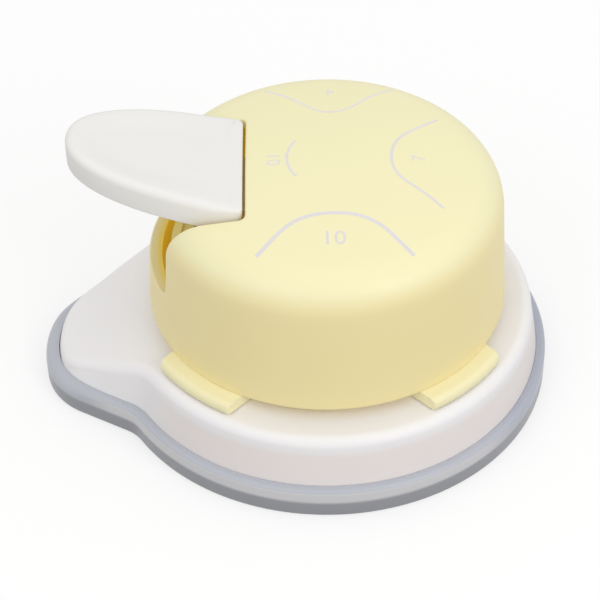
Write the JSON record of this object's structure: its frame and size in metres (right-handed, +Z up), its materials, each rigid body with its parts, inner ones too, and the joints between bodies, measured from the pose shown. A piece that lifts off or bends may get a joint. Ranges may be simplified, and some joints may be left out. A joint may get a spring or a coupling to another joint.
{
  "type": "corner rounder punch",
  "caption": "Round desk punch with a thumb lever, notched paper guides and a pull-off chip tray, for rounding or scalloping paper corners.",
  "frame": {"origin": "on the round cap's axis, at the chip tray's underside", "axes": "+Z up along the cap's axis, the thumb lever and the base's spout point along -X, +Y completes the right-handed frame; the row is symmetric about the XZ plane apart from which corner sizes the punches cut"},
  "size_m": [0.1095, 0.095, 0.0631],
  "materials": {
    "chip_tray": "translucent, satin",
    "base_body": "fine matte",
    "die_plate": "ground",
    "guide_cross": "satin",
    "guide_housing": "satin",
    "punch_r4": "ground edges",
    "punch_r7": "ground edges",
    "punch_r10": "ground edges",
    "punch_scallop": "ground edges",
    "punch_carrier": "matte",
    "clamp_plate": "stamped",
    "carrier_screw_1": "zinc plated",
    "carrier_screw_2": "zinc plated",
    "guide_post_1": "polished",
    "guide_post_2": "polished",
    "return_spring_1": "drawn wire",
    "return_spring_2": "drawn wire",
    "press_lever": "fine matte",
    "lever_pin": "polished",
    "pin_clip": "black oxide",
    "base_screw_1": "zinc plated",
    "base_screw_2": "zinc plated",
    "base_screw_3": "zinc plated",
    "base_screw_4": "zinc plated",
    "cap_cover": "satin, with printed marks"
  },
  "bodies": {
    "tray": {"chip_tray": "chip_tray"},
    "tool": {"base_body": "base_body", "die_plate": "die_plate", "guide_cross": "guide_cross", "guide_housing": "guide_housing", "guide_post_1": "guide_post_1", "guide_post_2": "guide_post_2", "return_spring_1": "return_spring_1", "return_spring_2": "return_spring_2", "lever_pin": "lever_pin", "pin_clip": "pin_clip", "base_screw_1": "base_screw_1", "base_screw_2": "base_screw_2", "base_screw_3": "base_screw_3", "base_screw_4": "base_screw_4", "cap_cover": "cap_cover"},
    "lever": {"press_lever": "press_lever"},
    "punches": {"punch_r4": "punch_r4", "punch_r7": "punch_r7", "punch_r10": "punch_r10", "punch_scallop": "punch_scallop", "punch_carrier": "punch_carrier", "clamp_plate": "clamp_plate", "carrier_screw_1": "carrier_screw_1", "carrier_screw_2": "carrier_screw_2"}
  },
  "joints": [
    {"name": "tool_lift", "type": "slide", "parent": "tray", "child": "tool", "axis": [0, 0, 1], "range_m": [0, 0.025]},
    {"name": "lever_press", "type": "hinge", "parent": "tool", "child": "lever", "pos_m": [0.025, 0, 0.0435], "axis": [0, -1, 0], "range_deg": [0, 14], "stiffness_Nm_per_rad": 2, "springref_deg": -6.88},
    {"name": "punch_slide", "type": "slide", "parent": "tool", "child": "punches", "axis": [0, 0, -1], "range_m": [0, 0.00612], "deforming": ["return_spring_1", "return_spring_2"]}
  ],
  "couplings": [
    {"joint": "punch_slide", "follows": "lever_press", "m_per_rad": 0.025}
  ]
}
